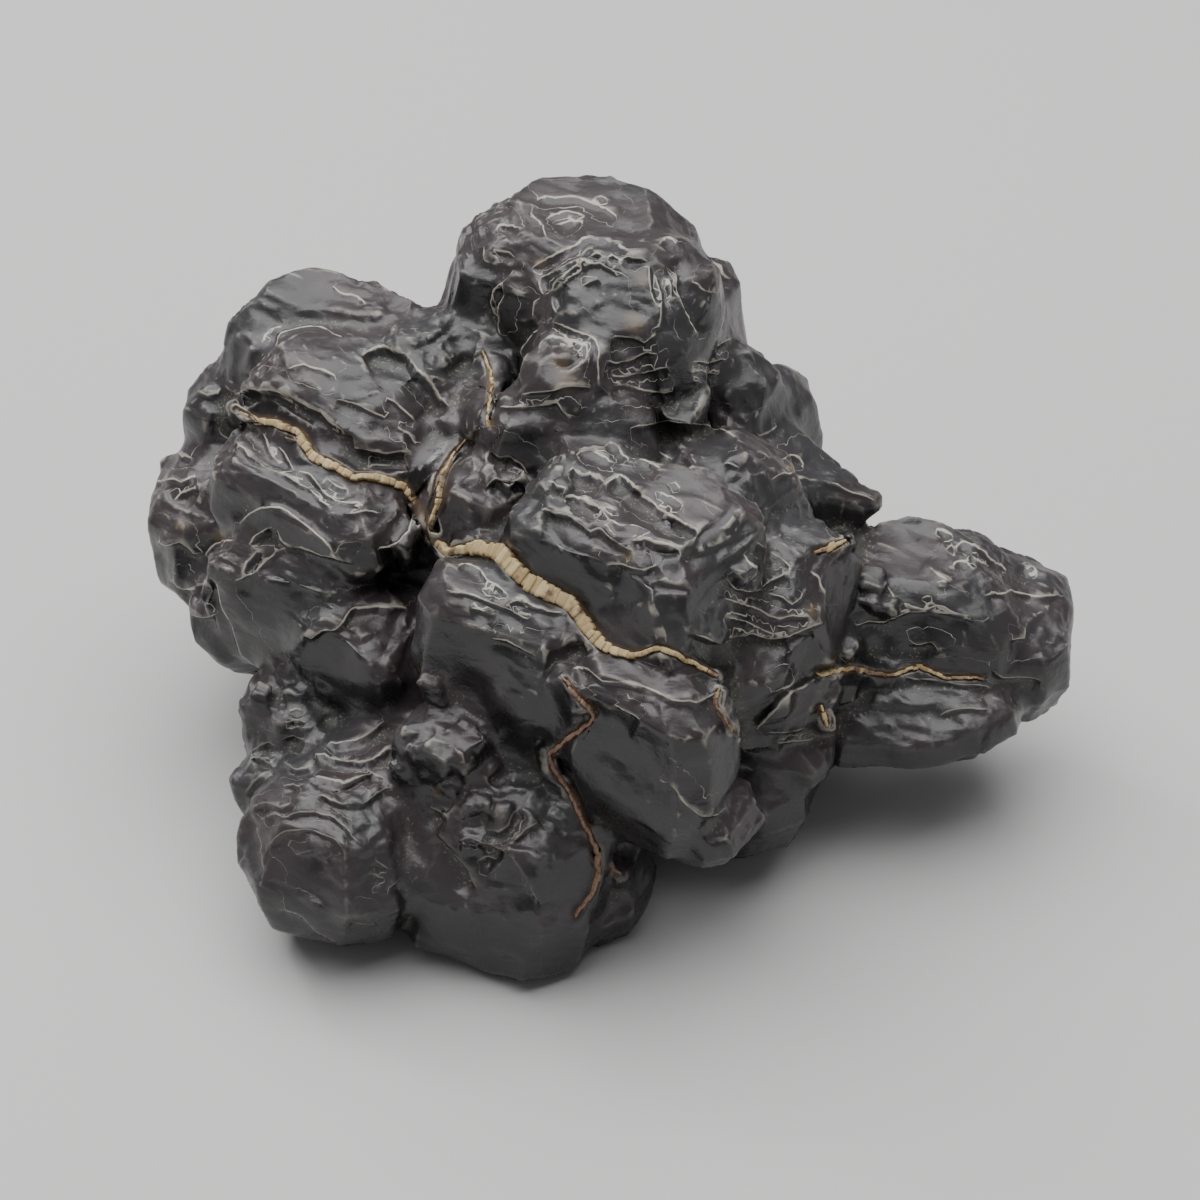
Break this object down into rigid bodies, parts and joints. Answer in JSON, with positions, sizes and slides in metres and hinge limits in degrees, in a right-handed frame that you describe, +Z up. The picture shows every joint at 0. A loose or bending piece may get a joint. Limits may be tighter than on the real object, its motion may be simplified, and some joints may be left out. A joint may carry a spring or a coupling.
{
  "type": "prophecy stone",
  "caption": "Knobbly iron oxide concretion of intergrown bevelled block crystals, dark and polished, with stepped faces, a side arm and pale seams. It rests free on flats under its feet.",
  "frame": {"origin": "on the surface the stone rests on, under the middle of its width and depth", "axes": "+Z up, +X along its widest side towards the arm, -Y towards its two front feet"},
  "size_m": [0.0754, 0.0554, 0.0469],
  "materials": {
    "iron_oxide": "dark brown-black iron oxide, polished by wind to a waxy metallic gloss, bright on worn edges and dull and dusty in the hollows",
    "vein_fill": "matt tan mineral that fills the seams between crystals, ribbed across"
  },
  "bodies": {
    "root": {"stone": "iron_oxide"}
  },
  "joints": []
}
